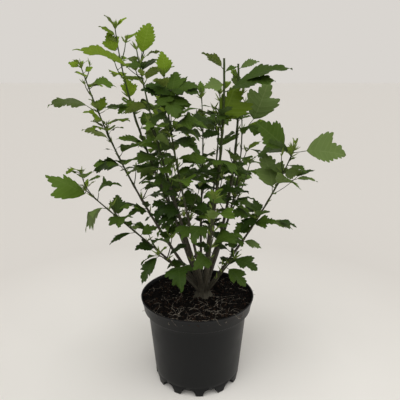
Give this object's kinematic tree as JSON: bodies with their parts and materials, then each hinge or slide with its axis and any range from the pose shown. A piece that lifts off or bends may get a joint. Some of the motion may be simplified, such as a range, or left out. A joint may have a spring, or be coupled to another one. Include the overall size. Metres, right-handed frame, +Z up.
{
  "type": "potted hibiscus shrub",
  "caption": "Young rose-of-Sharon hibiscus shrub: slender upright stems with lobed, toothed leaves, rising from one stump in a round black nursery pot.",
  "frame": {"origin": "on the ground at the middle of the pot's underside, which is the flat of its round centre boss", "axes": "+Z up the plant; -Y towards the side the shrub shows in its picture, +X to the right of that view"},
  "size_m": [0.4624, 0.3206, 0.5927],
  "materials": {
    "pot": "charcoal moulded polypropylene with a soft sheen",
    "soil": "damp brown-black potting peat",
    "bark": "thin grey-brown bark, green towards the tips",
    "foliage": "satin leaves, dark when grown, yellow-green when young"
  },
  "bodies": {
    "root": {"pot": "pot", "soil": "soil", "stump": "bark", "bough_far_left": "bark", "foliage_far_left": "foliage", "bough_low_left": "bark", "foliage_low_left": "foliage", "bough_tall_left": "bark", "foliage_tall_left": "foliage", "bough_mid_left": "bark", "foliage_mid_left": "foliage", "bough_front": "bark", "foliage_front": "foliage", "bough_back": "bark", "foliage_back": "foliage", "bough_centre_back": "bark", "foliage_centre_back": "foliage", "bough_cut_leader": "bark", "foliage_cut_leader": "foliage", "bough_cut_right": "bark", "foliage_cut_right": "foliage", "bough_right_back": "bark", "foliage_right_back": "foliage", "bough_far_right": "bark", "foliage_far_right": "foliage", "bough_low_back": "bark", "foliage_low_back": "foliage", "bough_low_right_back": "bark", "foliage_low_right_back": "foliage", "bough_low_right": "bark", "foliage_low_right": "foliage", "bough_low_front": "bark", "foliage_low_front": "foliage", "bough_middle_front": "bark", "foliage_middle_front": "foliage"}
  },
  "joints": []
}
